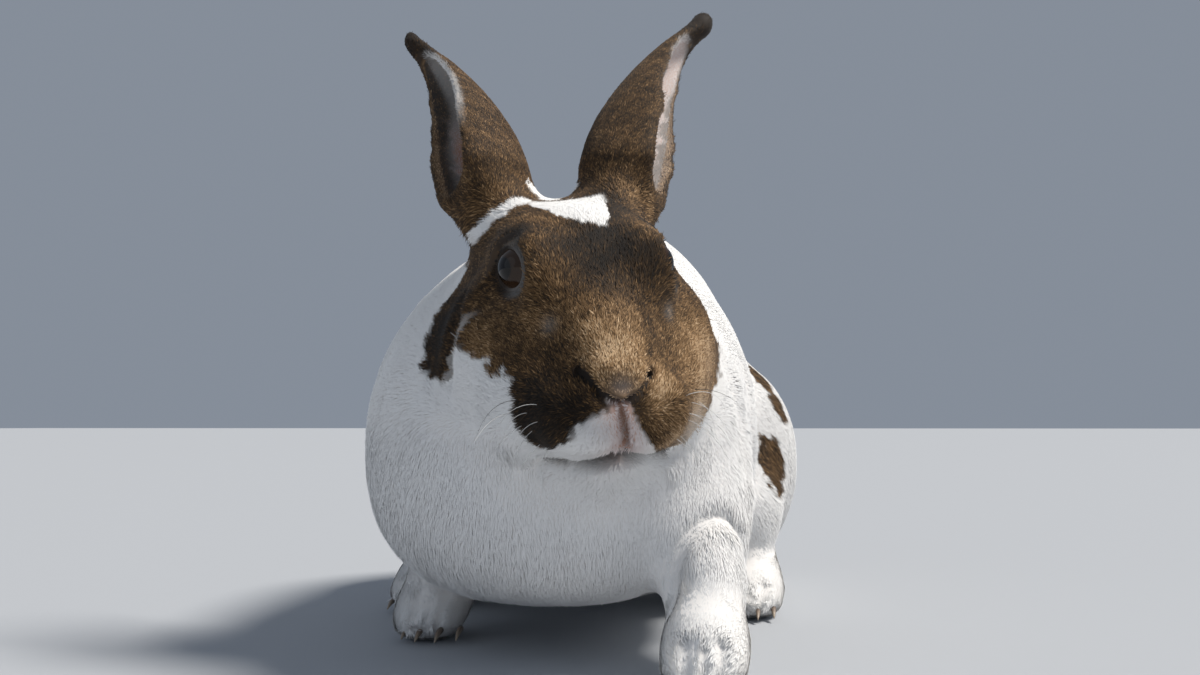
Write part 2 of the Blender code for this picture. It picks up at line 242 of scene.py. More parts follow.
# Depth of the fur in millimetres, how steeply it stands in degrees, the width of a tuft in
# millimetres, tufts to a square millimetre, and the way it lies, for each part of the body.
COAT = {
    # part: depth, lift, width, tufts, lie
    "trunk": (0.6, 6, 0.46, 2.4, (0, 1, -0.25)),
    "dewlap": (0.6, 6, 0.44, 3.1, (0, 0.3, -0.9)),
    "neck": (0.6, 7, 0.44, 3.5, (0, 1, -0.3)),
    "head": (1.0, 14, 0.36, 6.4, BACK),
    "ear_left": (0.5, 13, 0.30, 4.9, EARS["left"][1]),
    "ear_right": (0.5, 13, 0.30, 4.9, EARS["right"][1]),
    "eye_left": (0.7, 16, 0.34, 7.0, BACK),
    "eye_right": (0.7, 16, 0.34, 7.0, BACK),
    "foreleg_left": (0.5, 6, 0.40, 4.2, (0.1, -0.2, -0.9)),
    "foreleg_right": (0.5, 6, 0.40, 4.2, (0, -0.1, -1)),
    "forepaw_left": (0.4, 6, 0.36, 4.8, (0, -1, -0.3)),
    "forepaw_right": (0.4, 6, 0.36, 4.8, (0, -1, -0.3)),
    "hindfoot_left": (0.4, 6, 0.38, 3.8, (0, -1, -0.2)),
    "hindfoot_right": (0.4, 6, 0.38, 3.8, (0, -1, -0.2)),
    "thigh_left": (0.6, 6, 0.46, 2.4, (0.1, 0.7, -0.7)),
    "thigh_right": (0.6, 6, 0.46, 2.4, (-0.1, 0.7, -0.7)),
    "tail": (2.6, 24, 0.50, 5.0, (0, 0.3, 1)),
}


def parts_under(points):
    """For each point, the number of the nearest part in FLESH."""
    corners, faces, owner = [], [], []
    for number, name in enumerate(FLESH):
        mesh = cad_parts[name].data
        start = len(corners)
        corners += [v.co[:] for v in mesh.vertices]
        faces += [tuple(start + i for i in p.vertices) for p in mesh.polygons]
        owner += [number] * len(mesh.polygons)
    flesh = BVHTree.FromPolygons(corners, faces)
    return np.array([owner[flesh.find_nearest(Vector(p))[2]] for p in points])


part_at = parts_under(outside.points)
coat_rows = np.array([[*COAT[name][:4], *Vector(COAT[name][4]).normalized()] for name in FLESH])
coat = outside.spread(coat_rows[part_at], 14)
# The thin ears, which have the narrowest tufts, are evened out less than the rest.
EVEN_PASSES = 30
even_share = 0.45 + 0.55 * ease(0.28, 0.34, coat[:, 2])

# On the face the fur is shortest at the nose and the lids: how deep it is at so many millimetres
# from the nose tip, and from the rim of an eye.
FROM_NOSE = [(0, 0.35), (7, 0.5), (16, 0.7), (34, 0.9), (60, 1.1), (85, 1.3), (110, 1.5)]
FROM_EYE = [(8, 0.35), (11, 0.5), (18, 0.8), (28, 1.5)]


def level_at(stations, value):
    """What the stations, each a place and its level, come to at this value."""
    return np.interp(value, *np.array(stations, float).T)


def soften(surface, passes, share):
    """Evens the surface out; share says how much each point may follow its neighbours."""
    for _ in range(passes):
        surface.points += (surface.spread(surface.points, 1) - surface.points) * share[:, None]


def line_gap(places, line):
    """How far each place is from a line through a few places on the head, in millimetres."""
    nearest = np.full(len(places), 1e9)
    for start, end in zip(np.array(line[:-1], float), np.array(line[1:], float)):
        way = end - start
        share = np.clip((places - start) @ way / max(way @ way, 1e-9), 0, 1)
        nearest = np.minimum(nearest, length(places - start - share[:, None] * way))
    return nearest


def on_surface(surface, line):
    """The line through these places on the head, in short steps, brought to the surface."""
    places = np.array(line, float)
    steps = [np.linspace(a, b, 5)[:-1] for a, b in zip(places[:-1], places[1:])] + [places[-1:]]
    return on_head(surface.points[surface.nearest(off_head(np.concatenate(steps)))])


# Lines over the face that are pressed in: the slits of the nose, how deep and wide they are, and how
# far over each slit its hood rises, by how much and how wide.
NOSTRILS = {
    "right": [(-1, 0, -2), (2, -4.5, -0.5), (6, -8.5, 2), (11, -12.5, 3.5)],
    "left": [(-1, 0, -2), (2, 4.5, -0.5), (5.5, 8.2, 1.5), (9, 11.5, 2)],
}
SLIT_DEPTH, SLIT_WIDTH = 3.6, 1.35
HOOD_OVER, HOOD_HEIGHT, HOOD_WIDTH = 2.8, 1.3, 1.4
FACE_FOLDS = {
    # line, depth and width: the cleft under the nose, the mouth, and the fold behind the right cheek
    "cleft": ([(0, 0, -3), (0.5, 1, -8), (1, 2, -13), (3, 3.2, -20)], 3.4, 1.2),
    "mouth": ([(19, -21, -33), (14, -17, -31.5), (8, -8, -28), (5, 3.5, -25.5), (8, 12, -28), (14, 20, -31.5),
               (19, 24, -33)], 5.0, 1.8),
    "cheek": ([(75, -45, 0), (60, -46, -6), (55, -48, -16), (54, -46, -24)], 2.5, 3.0),
}
# Forms raised or sunk on it: middle, reach and height.
FORMS = [
    ((1, -6, -14), 5.5, 2.3), ((2, 8.5, -14), 5.5, 2.3), ((4, 0, 5), 6, 0.8), ((8, -8, 8), 5, 1.3),
    ((8, 8, 8), 5, 1.3), ((6, -12, -5), 5.5, -1.4), ((6, 12, -5), 5.5, -1.4), ((9, -3, -38), 9, 2.0),
    ((13, -22, -12), 9, 0.8), ((13, 23, -12), 9, 0.8), ((52, 25, 21), 8.0, 3.6), ((68, -25, 25), 6.5, -1.2),
    ((6, 1, -30), 6, -2.2),
]


def along_ear(side):
    """Each point's gap from the ear's root, its height up the ear, and its way out from the ear's axis."""
    axis = EAR_LEANS[side]
    gap = outside.points - off_head(EARS[side][0])
    return gap, gap @ axis / MM, gap - np.outer(gap @ axis, axis)


for side in EARS:
    gap, rise, _ = along_ear(side)
    near = ease(22, 12, length(gap) / MM - np.maximum(rise, 0) * 0.3)
    even_share = np.maximum(even_share, near * ease(34, 16, rise))
soften(outside, EVEN_PASSES, even_share)
# The ears widen into the head: the hollows round their roots are filled, but not their cups.
FILL_PASSES = 90
root_share = np.zeros(len(outside.points))
for side in EARS:
    gap, rise, into = along_ear(side)
    cup = ease(-0.15, 0.45, -np.sum(outside.normals() * unit(into), axis=1)) * ease(0, 8, rise)
    near = ease(34, 26, length(gap) / MM - np.maximum(rise, 0))
    near = ease(-26, -14, rise) * ease(52, 34, rise) * near
    root_share = np.maximum(root_share, near * (1 - cup))
for turn in range(FILL_PASSES):
    if turn % 10 == 0:
        normals = outside.normals()
    pull = np.sum((outside.spread(outside.points, 1) - outside.points) * normals, axis=1)
    outside.points += normals * (np.maximum(pull, 0) * root_share)[:, None]
normals = outside.normals()
before_folds = on_head(outside.points)
move = np.zeros(len(before_folds))
lines = {name: on_surface(outside, line) for name, line in NOSTRILS.items()}
for name, (line, depth, width) in FACE_FOLDS.items():
    lines[name] = on_surface(outside, line)
    move -= depth * fade(line_gap(before_folds, lines[name]), width)
for middle, reach, height in FORMS:
    move += height * fade(length(before_folds - middle), reach)
# Folds of the body: round the top of the left foreleg, behind the shoulder and down the chest.
BODY_FOLDS = [
    # line in metres, depth and width in millimetres
    ([(0.051, -0.150, 0.026), (0.053, -0.145, 0.038), (0.057, -0.141, 0.046), (0.063, -0.137, 0.053),
      (0.070, -0.132, 0.055), (0.076, -0.128, 0.050), (0.078, -0.128, 0.040)], 3.4, 3.2),
    ([(0.078, -0.066, 0.110), (0.079, -0.073, 0.083), (0.078, -0.074, 0.064), (0.076, -0.080, 0.045)],
     2.4, 5.0),
    ([(0.070, -0.100, 0.108), (0.075, -0.100, 0.088), (0.077, -0.109, 0.070)], 1.2, 4.0),
]
for line, depth, width in BODY_FOLDS:
    move -= depth * fade(line_gap(outside.points / MM, np.array(line) / MM), width)
# Four toes to a foot, with grooves between them from under the front of the foot up and back over it.
TOES = {
    # each toe's place from side to side, and how far it is set back from the front one
    "forepaw": ((-10.5, 5.0), (-3.8, 0.0), (3.8, 0.0), (10.5, 5.0)),
    "hindfoot": ((-9.8, 5.0), (-3.3, 0.0), (3.3, 0.0), (9.8, 5.0)),
}
TOE_GROOVE, TOE_GROOVE_WIDTH = 3.0, 2.0
# Where a groove runs: back from the front of its toes, and up from the floor.
TOE_GROOVE_LINE = [(-1, 2), (0, 8), (4, 15), (10, 19)]
# How far the middle of a hind foot's toes is in from the outside of the foot.
HIND_IN = 16.2


def foot_front(kind, side):
    """The middle of the toes from side to side, and their front, in metres."""
    low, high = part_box(f"{kind}_{'left' if side > 0 else 'right'}")
    if kind == "hindfoot":
        return (high.x if side > 0 else low.x) - HIND_IN * MM * side, low.y
    return (low.x + high.x) / 2, low.y


grooves = []
for kind, toes in TOES.items():
    for side in (1, -1):
        middle, ahead = foot_front(kind, side)
        for (here, back_here), (there, back_there) in zip(toes[:-1], toes[1:]):
            x = middle + (here + there) / 2 * MM
            y = ahead + max(back_here, back_there) * MM
            grooves += [(x, y + along * MM, up * MM) for along, up in TOE_GROOVE_LINE]
for line in outside.points[outside.nearest(grooves)].reshape(-1, len(TOE_GROOVE_LINE), 3):
    move -= TOE_GROOVE * fade(line_gap(outside.points / MM, line / MM), TOE_GROOVE_WIDTH)
KNEE, KNEE_HEIGHT, KNEE_REACH = (0.066, -0.146, 0.042), 2.2, 12
move += KNEE_HEIGHT * fade(length(outside.points - KNEE), KNEE_REACH * MM)
outside.points += normals * move[:, None] * MM
for side, name in ((-1, "right"), (1, "left")):
    press = SLIT_DEPTH * fade(line_gap(before_folds, lines[name]), SLIT_WIDTH)
    hood = HOOD_HEIGHT * fade(line_gap(before_folds, lines[name] + (0, 0, HOOD_OVER)), HOOD_WIDTH)
    outside.points += normals * hood[:, None] * MM
    inward = np.array((0.85, -0.35 * side, -0.1)) @ HEAD_AXES
    outside.points += press[:, None] * MM * inward


# Round each eye the face falls away, so that the ball stands clear of it and is seen from the front.
EYE_RADIUS = 9.2
EYE_SUNK = 3.2
EYE_LOOK = np.array((-0.38, 0.90, 0.22))
LID_WIDE, LID_HIGH = 8.2, 7.2
LID_OVER, LID_UNDER = 0.9, -1.6
# How far out the face may stand at the rim of the lids, and how much farther before the left eye.
FACE_OUT, BEFORE_LEFT_EYE = 7.2, 3.2


def eye_axes(side):
    """The middle of the eye, the way it looks, then along its slit and across it, in the head's axes."""
    look = unit(EYE_LOOK * (1, side, 1))
    slit = unit(np.array((1, 0, 0.22)) - look * look[0])
    slit = unit(slit - look * (slit @ look))
    middle = np.array((EYE_BACK, EYE_OUT * side, EYE_UP)) - look * EYE_SUNK
    return middle, look, slit, np.cross(look, slit) * side


def round_eye(places, side):
    """Each place's way from the eye's middle, then along the slit, across it and outward, and how many
    times as far from the middle of the opening as the rim of the lids."""
    middle, look, slit, tall = eye_axes(side)
    ray = places - middle
    along, across, out = ray @ slit, ray @ tall, ray @ look
    return ray, along, across, out, np.hypot(along / LID_WIDE, across / LID_HIGH)


def fall_away(places):
    """The places on the head, with the face kept below a slope that rises from each eye's rim."""
    for side in (1, -1):
        _, along, across, out, _ = round_eye(places, side)
        radial = np.hypot(along, across)
        toward = -along / np.maximum(radial, 1)
        above = across / np.maximum(radial, 1)
        slope = 0.30 - 0.05 * toward + 0.55 * ease(0.2, 0.9, above)
        limit = FACE_OUT + slope * np.maximum(radial - LID_WIDE, 0)
        if side > 0:
            limit += BEFORE_LEFT_EYE * ease(0.0, 0.6, 0.85 * toward + 0.5 * above) * ease(6.5, 9.5, radial)
        over = np.maximum(out - limit, 0) * (1 - ease(15, 24, radial)) * (out > 0)
        places = places - eye_axes(side)[1] * over[:, None]
    return places


outside.points = off_head(fall_away(on_head(outside.points)))
soften(outside, 4, np.full(len(outside.points), 0.5))
places = on_head(outside.points)
names = np.array(FLESH)[part_at]
is_face = (names == "head") | np.char.startswith(names, "eye")
from_nose = length(places)
from_eye = np.minimum(*(length(places - (EYE_BACK, EYE_OUT * k, EYE_UP)) for k in (1, -1)))
shallow = np.minimum(level_at(FROM_NOSE, from_nose), level_at(FROM_EYE, from_eye))
coat[:, 0] = outside.spread(np.where(is_face, np.minimum(coat[:, 0], shallow), coat[:, 0]), 3)

# Fur runs from the nose to the ears, parts round each eye, and falls from the lips and the chin.
back, out, up = places.T
ones = np.ones(len(places))
flow = np.stack((ones, 0.10 * out / 10, -0.15 * ease(10, 60, back) * ease(5, 30, np.abs(out))), 1)
for side in (1, -1):
    away = places - (EYE_BACK, EYE_OUT * side, EYE_UP)
    flow += unit(away) * (1.3 * fade(length(away), 15))[:, None]
fall = (1 - ease(12, 24, back)) * (1 - ease(-9, -3, up))
flow = flow * (1 - fall)[:, None] + np.stack((0.25 * ones, 0.06 * out, -ones), 1) * fall[:, None]
flow = unit(flow) @ HEAD_AXES
# Fur this deep is the neck's, whose own lie stays.
NECK_DEPTH = 1.48
coat[:, 4:7] = np.where((is_face & (shallow < NECK_DEPTH))[:, None], flow, coat[:, 4:7])
coat[:, 4:7] = outside.spread(coat[:, 4:7], 6)

normals = outside.normals()
# Half the angle that the ear wraps round its middle line, at shares of its length.
CUP_HALF = [(0, 142), (0.2, 130), (0.4, 111), (0.6, 90), (0.8, 81)]
# How far each point is inside the cup of an ear, how far up the ear it is, as a share of the length,
# and where round the fold: -1 at the front rim, 1 at the back rim.
ear_inside = np.zeros(len(places))
ear_rise = np.zeros(len(places))
ear_fold = np.zeros(len(places))
for side, (_, lean, facing, front) in EARS.items():
    axis = Vector(lean).normalized()
    facing = (Vector(facing) - axis * axis.dot(facing)).normalized()
    across = axis.cross(facing)
    _, rise, into = along_ear(side)
    on_ear = names == "ear_" + side
    inward = -np.sum(normals * unit(into), axis=1)
    ear_inside = np.where(on_ear, ease(-0.15, 0.45, inward) * ease(4, 16, rise), ear_inside)
    ear_rise = np.where(on_ear, rise / EAR_LENGTH, ear_rise)
    angle = np.degrees(np.arctan2(into @ np.array(across), -(into @ np.array(facing))))
    ear_fold = np.where(on_ear, -front * angle / level_at(CUP_HALF, rise / EAR_LENGTH), ear_fold)
ear_inside = outside.spread(ear_inside, 2)
# The tips of the ears are blunt knobs: how much thicker, and over what share of the length.
EAR_KNOBS = {"ear_left": (2.5, 0.06), "ear_right": (1.2, 0.05)}
KNOB_AT = 0.97
knob = np.zeros(len(places))
for name, (height, reach) in EAR_KNOBS.items():
    knob += height * fade(ear_rise - KNOB_AT, reach) * (names == name)
knob = outside.spread(knob, 3)
CUP_SUNK = 1.5
hide = Surface(skin.data)
hide.points = outside.points + normals * (knob - coat[:, 0] - CUP_SUNK * ear_inside)[:, None] * MM
soften(hide, 2, np.full(len(places), 0.5))

# In a hollow the fur stands up more, or the skin would bury it: degrees to a millimetre, and the most.
HOLLOW_LIFT, MOST_HOLLOW_LIFT = 60, 14
hollow = np.sum((hide.spread(hide.points, 6) - hide.points) * normals, axis=1) / MM
coat[:, 1] += np.clip(outside.spread(hollow, 4) * HOLLOW_LIFT, 0, MOST_HOLLOW_LIFT)
# A fringe of longer hairs, in millimetres and degrees, leans into the cup from the front rim.
FRINGE_DEPTH, FRINGE_LIFT = 1.5, 20
fringe = ear_inside * (1 - ease(0.10, 0.22, np.abs(ear_fold + 0.86))) * ease(0.10, 0.2, ear_rise)
coat[:, 0] += FRINGE_DEPTH * fringe
coat[:, 1] += FRINGE_LIFT * fringe


def open_lids(places):
    """Skin sinks under the eyeball inside the rims of the lids, and wraps round it outside them."""
    for side in (1, -1):
        ray, _, _, out, reach = round_eye(places, side)
        far = length(ray)
        lid = EYE_RADIUS + LID_UNDER + (LID_OVER - LID_UNDER) * ease(0.93, 1.04, reach)
        share = (1 - ease(1.15, 1.75, reach)) * (out > 0) * (far < 18)
        places = eye_axes(side)[0] + ray * (1 + share * (lid / far - 1))[:, None]
    return places


hide.points = off_head(open_lids(on_head(hide.points)))
skin.data.vertices.foreach_set("co", hide.points.astype(np.float32).ravel())
skin.data.update()
skin.data.shade_smooth()


def unwrap(obj):
    """Lays the skin out flat in its own shape."""
    bpy.context.view_layer.objects.active = obj
    obj.select_set(True)
    bpy.ops.object.mode_set(mode="EDIT")
    bpy.ops.mesh.select_all(action="SELECT")
    bpy.ops.uv.smart_project(angle_limit=math.radians(66), island_margin=0.002)
    bpy.ops.object.mode_set(mode="OBJECT")
    layer = obj.data.uv_layers.active
    layer.name = "OFBake"
    return read_rows(layer.uv, "vector", 2, np.float32)


flat_skin = unwrap(skin)


# ---- Her markings ----------------------------------------
# White all over, with a brown mask from the brows to the sides of the muzzle, brown ears and a few
# spots on the left haunch. Each is hair of another colour in the same coat, so that the rules here
# hold for the skin and for every tuft that grows from it.
def ripple(points, size, seed):
    """A smooth, wandering value from about -1 to 1, with waves about size across."""
    turn = np.random.default_rng(seed)
    total = 0
    for k in range(6):
        way = turn.normal(size=3)
        way *= 2 * math.pi / size * (0.7 + 0.25 * k) / np.linalg.norm(way)
        total = total + np.sin(points @ way + turn.uniform(0, 7))
    return total / 3.0


# How low the mask reaches: the level over which fur is brown, at stations back along the head. Then
# the level under which the lips are white, and how far back the white blaze starts, from side to side.
MASK_RIGHT = [(8, -26), (13, -23), (17, -17), (21, -12), (25, -7), (39, -9), (53, -10), (56, -27), (70, -32),
              (84, -27), (97, -20), (101, 5), (104, 60)]
MASK_LEFT = [(8, -38), (13, -37), (17, -32), (26, -27), (48, -26), (68, -24), (82, -14), (94, 8), (100, 60)]
LIPS = [(-23, -26), (-19, -17), (-15, -12), (-10, -8), (-6, -5), (0, -2), (3, -4), (7, -10), (11, -18),
        (15, -30)]
BLAZE = [(-16, 95), (-12, 84), (-9, 75), (-4, 68), (6, 64), (9, 70), (12, 90)]
# The white strip from the blaze round the right ear, and the brown roots of the ears, each its middle
# and half widths.
STRIP = [(100, -10, 26), (98, -18, 24), (93, -26, 22), (94, -31, 17), (97, -36, 10), (99, -41, 3)]
EAR_ROOTS = [((104, 19, 20), (17, 22, 19)), ((108, 37, 9), (14, 13, 15)), ((105, -26, 18), (16, 17, 18)),
             ((108, -40, 6), (13, 11, 14))]
# Spots on the flank and haunch of the left side: middle in metres, and half widths in millimetres.
SPOTS = [((0.087, 0.022, 0.066), (20, 10.5, 15)), ((0.088, 0.043, 0.094), (16, 7, 8)),
         ((0.080, 0.047, 0.108), (14, 8.5, 9))]
# Where the brown is more golden (above 0) or darker (below 0): place on the head, reach, amount. The
# darkening at (69, -26, 25) and at (74, 27, 24), just above the eyes, is painted shade under the brows.
TONES_AND_BROW_SHADE = [
    ((54, 6, 28), 18, -0.40), ((70, -12, 29), 9, 0.14), ((64, 22, 29), 8, 0.16), ((28, -2, 17), 9, 0.10),
    ((22, -1, 15), 13, 0.20), ((10, -1, 8), 11, 0.50), ((47, -37, -2), 10, 0.17), ((3, 19, -17), 8, 0.34),
    ((41, -18, 19), 10, 0.10), ((62, 22, 27), 10, 0.16), ((9, 14, -3), 7, 0.50), ((12, -22, -12), 13, -0.48),
    ((4, -14, -4), 6, -0.20), ((36, -22, 6), 6, 0.18), ((44, -41, 0), 9, 0.06), ((75, -50, -20), 16, -0.30),
    ((69, -26, 25), 7.5, -0.50), ((78, -46, -14), 16, -0.2), ((84, 8, 27), 15, -0.16),
    ((106, 24, 18), 11, 0.30), ((107, -27, 15), 11, 0.12), ((30, 40, -5), 16, 0.40),
    ((17, 30, -24), 12, 0.62), ((45, 44, -12), 14, 0.25), ((74, 27, 24), 7, -0.35), ((90, 5, 26), 14, -0.20),
    ((70, -24, 27), 8, 0.10),
]
# Where white hairs are mixed into the brown: place on the head, reach, share.
PALE = [
    ((17, 29, -25), 8, 0.40), ((3, 0, 2), 3.5, 0.30), ((9, -14, -19), 5, 0.30), ((8, 13, -17), 5, 0.35),
    ((39, 24, 8), 3.0, 0.12), ((32, -18, 9), 3.0, 0.10),
]


def bare_cup(rise, fold, wander=0):
    """Where the skin shows through, low in the cup of the right ear."""
    return ease(-0.8, -0.5, fold) * (1 - ease(0.50, 0.68, fold + wander)) * (1 - ease(0.46, 0.62, rise))


def marking(points, part, ear, unfolded):
    """How brown the fur is at each point, how golden that brown is, and how bare and pink the skin.

    unfolded is each point's place on the head before the folds were pressed in."""
    inside, rise, fold = ear
    places = on_head(points)
    back, out, up = places.T
    wander = 1.6 * ripple(points, 0.011, 3) + 0.9 * ripple(points, 0.004, 4)
    floor_level = np.where(out < 0, level_at(MASK_RIGHT, back), level_at(MASK_LEFT, back))
    mask = ease(-1.5, 1.5, up - floor_level + wander)
    lips = ease(-2.5, 1.5, level_at(LIPS, out) - up + wander) * (1 - ease(12, 20, back))
    blaze = ease(-1.2, 1.2, back - level_at(BLAZE, out) + wander)
    blaze = blaze * ease(-17, -14, out) * (1 - ease(11, 14, out)) * (1 - ease(96, 99, back))
    strip = 1 - ease(2.0, 3.8, line_gap(places, STRIP) + 0.5 * wander)
    crease = (1 - ease(1.0, 2.2, np.abs(back - 57 + wander * 0.5))) * (1 - ease(-40, -34, out))
    crease = crease * (1 - ease(-3, 2, up))
    brown = mask * (1 - lips) * (1 - blaze) * (1 - strip) * (1 - 0.35 * crease)
    names = np.array(FLESH)[part]
    ears = np.char.startswith(names, "ear")
    face = (names == "head") | (names == "neck") | np.char.startswith(names, "eye")
    root = np.zeros(len(points))
    for seat, reach in EAR_ROOTS:
        gone = length((places - seat) / reach)
        root = np.maximum(root, 1 - ease(0.88, 1.05, gone + 0.05 * wander))
    brown = np.where(ears, 1.0, np.where(face, np.maximum(brown, root * (1 - blaze) * (1 - strip)), 0.0))
    for middle, half in SPOTS:
        gone = length((points - middle) / (np.array(half) * MM))
        brown = np.maximum(brown, 1 - ease(0.85, 1.1, gone + 0.12 * wander))
    gold = 0.40 + 0.07 * ripple(points, 0.016, 8)
    for middle, reach, amount in TONES_AND_BROW_SHADE:
        gold = gold + amount * fade(length(places - middle), reach)
    gold = np.where(ears, 0.40 - 0.34 * ease(0.78, 0.93, rise) + 0.07 * ripple(points, 0.012, 9), gold)
    # Inside the cup: a dark band along the back rim, edged with tan, a white fringe at the front rim. In the
    # right ear the cup is dark brown almost all over: its short brown hair, made darker still as painted
    # shade.
    edge = 1 - ease(0.06, 0.12, np.abs(fold - 1.0))
    right = names == "ear_right"
    bare = bare_cup(rise, fold, 0.05 * wander)
    # Painted shade: the right ear's cup is kept dark almost all over, on top of its own short brown hair.
    band_and_shade_right = 0.74 + 0.22 * ease(0.62, 0.85, fold + 0.4 * ease(0.4, 0.7, rise)) - 0.40 * bare
    band_left = 0.6 * ease(0.66, 0.84, fold + 0.05 * wander) * (1 - ease(0.6, 0.7, rise))
    band = np.where(right, band_and_shade_right, band_left)
    band = np.maximum(band * (1 - 0.8 * ease(0.6, 0.8, -fold)), 0.85 * edge)
    brown = np.where(ears, 1 - inside * (1 - band) * (1 - ease(0.80, 0.9, rise)), brown)
    gold = np.where(ears & (inside > 0.3), np.maximum(gold * (1 - 0.35 * inside), 0.72 * edge), gold)
    # White hairs along the front rim of the right ear.
    pale_rim = right * (1 - ease(0.02, 0.12, np.abs(fold + 1.0))) * ease(0.2, 0.4, rise)
    brown = brown * (1 - 0.55 * pale_rim * (1 - ease(0.76, 0.84, rise)))
    for side in (1, -1):
        ray, along, across, out, reach = round_eye(places, side)
        near = (out > 0) * (length(ray) < 18)
        front = ease(-0.5, 0.7, -along / LID_WIDE - 0.6 * across / LID_HIGH)
        ring = (1 - ease(1.15, 1.50, reach)) * near
        brown = brown * (1 - 0.13 * ring * front)
        gold = gold * (1 - 0.8 * ring)
    # Bare pink skin: deep in the ears, the lips along the cleft, and the V of the nose.
    cleft_gap = line_gap(unfolded, lines["cleft"])
    head = names == "head"
    cleft = fade(cleft_gap, 1.5) * head
    lobes = 0.95 * fade(cleft_gap, 7.0) * head
    flush = np.maximum(inside * np.where(right, bare, 0.5 * (1 - band)), np.maximum(cleft, lobes))
    # Painted shade: a thin dark line down the middle of the cleft.
    brown = np.maximum(brown * (1 - 0.9 * cleft), 0.6 * fade(cleft_gap, 0.7) * head)
    for middle, reach, amount in PALE:
        brown = brown * (1 - amount * fade(length(places - middle), reach))
    # Darker in the slits of the nose and along the mouth: painted shade in these openings, and along the
    # mouth also the dark edge of the lip. Golden along the hoods over the slits.
    for side in NOSTRILS:
        hood_gap = line_gap(unfolded, lines[side] + (0, 0, 3.0))
        gold = gold - 0.5 * fade(line_gap(unfolded, lines[side]), 2.0) + 0.25 * fade(hood_gap, 1.8)
    # Painted shade along the mouth line, together with the dark edge of the lip.
    mouth = fade(line_gap(unfolded, lines["mouth"]), 1.5) * head
    brown = np.maximum(brown, 0.75 * mouth)
    return brown, np.clip(gold * (1 - 0.8 * mouth), 0.02, 1), flush


# ---- The coat --------------------------------------------
# Short, dense plush: every tuft is a thin blade of hairs rooted in the skin, bent a little towards
# the way the fur lies, and ending at the outside of the coat. Brown hair is slate at the root, gold in
# the middle and dark at the tip.

# Each next root in a triangle is these shares of its two sides further on, give or take ROOT_STRAY.
ROOT_STEPS = (0.7548776662, 0.5698402910)
ROOT_STRAY = 0.06


def sow(surface, faces, seed):
    """Roots spread evenly over these triangles: which triangle, and the shares of its three corners."""
    rng = np.random.default_rng(seed)
    corners = surface.triangles[faces]
    wanted = surface.areas(faces) * coat[corners, 3].mean(1) * thinning[corners].mean(1)
    total = np.cumsum(wanted)
    before = np.concatenate(([0], total[:-1]))
    count = np.floor(total + 0.5).astype(int) - np.floor(before + 0.5).astype(int)
    face = np.repeat(np.arange(len(faces)), count)
    number = np.arange(len(face)) - np.repeat(np.cumsum(count) - count, count)
    start = rng.uniform(size=(len(faces), 2))[face]
    u, v = ((start[:, k] + number * step + rng.normal(0, ROOT_STRAY, len(face))) % 1
            for k, step in enumerate(ROOT_STEPS))
    over = u + v > 1
    u[over], v[over] = 1 - u[over], 1 - v[over]
    return faces[face], np.stack((1 - u - v, u, v), axis=1)


# Where along a blade it is widest and bends, how deep its root sits, and half its patch on the unwrap.
WIDEST = 0.58
ROOT_DEPTH = 0.3
HALF_PATCH = 0.0015
# How much of a blade's shading is the skin's, how low a tip may come to the floor, and where along it
# the markings are looked up.
SKIN_SHADING, BLADE_SHADING = 0.92, 0.2
LEAST_HEIGHT = 0.2
SEEN_AT = 0.65


def mix(values, corners, shares):
    return np.einsum("nk,nk...->n...", shares, values[corners])


def write_values(mesh, label, values):
    layer = mesh.attributes.new(label, "FLOAT", "POINT")
    layer.data.foreach_set("value", np.asarray(values, np.float32))


